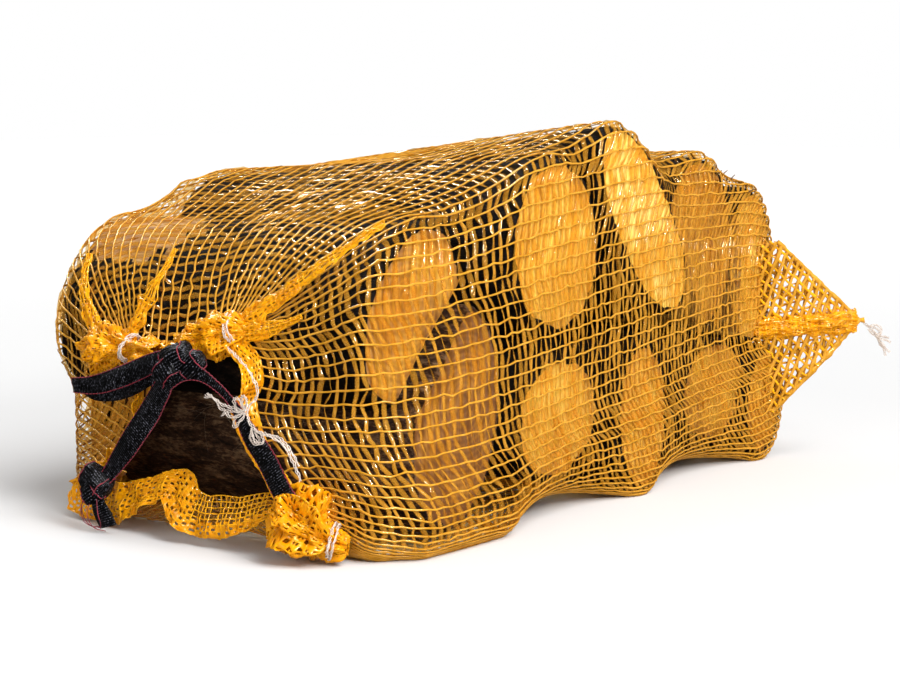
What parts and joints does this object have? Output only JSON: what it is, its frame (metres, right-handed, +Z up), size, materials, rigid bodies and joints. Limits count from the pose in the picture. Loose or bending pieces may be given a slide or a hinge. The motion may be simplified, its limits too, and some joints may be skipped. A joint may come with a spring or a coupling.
{
  "type": "net of firewood logs",
  "caption": "Woven net bag packed with short split logs, lying on its side, with a gathered drawstring mouth open at one end and flat sewn corners at the other.",
  "frame": {"origin": "on the floor under the middle of the bag's box", "axes": "+X from the drawn mouth to the sewn end, +Y along the logs away from the shown log ends, +Z up"},
  "size_m": [0.5147, 0.3572, 0.2318],
  "materials": {
    "net": "woven flat polypropylene tape, satin",
    "bark": "rough dry bark",
    "cut_wood": "sawn and split dry wood",
    "ribbon": "woven synthetic tape with red edge threads",
    "thread": "soft twisted sewing thread"
  },
  "bodies": {
    "root": {"net_bag": "net", "corner_ear_front": "net", "corner_ear_back": "net", "log_at_mouth": "bark", "drawstring_knot": "ribbon", "drawstring_span": "ribbon", "drawstring_tail": "ribbon", "drawstring_loop": "ribbon", "drawstring_end_knot": "ribbon", "mouth_thread": "thread", "corner_thread": "thread"}
  },
  "joints": []
}
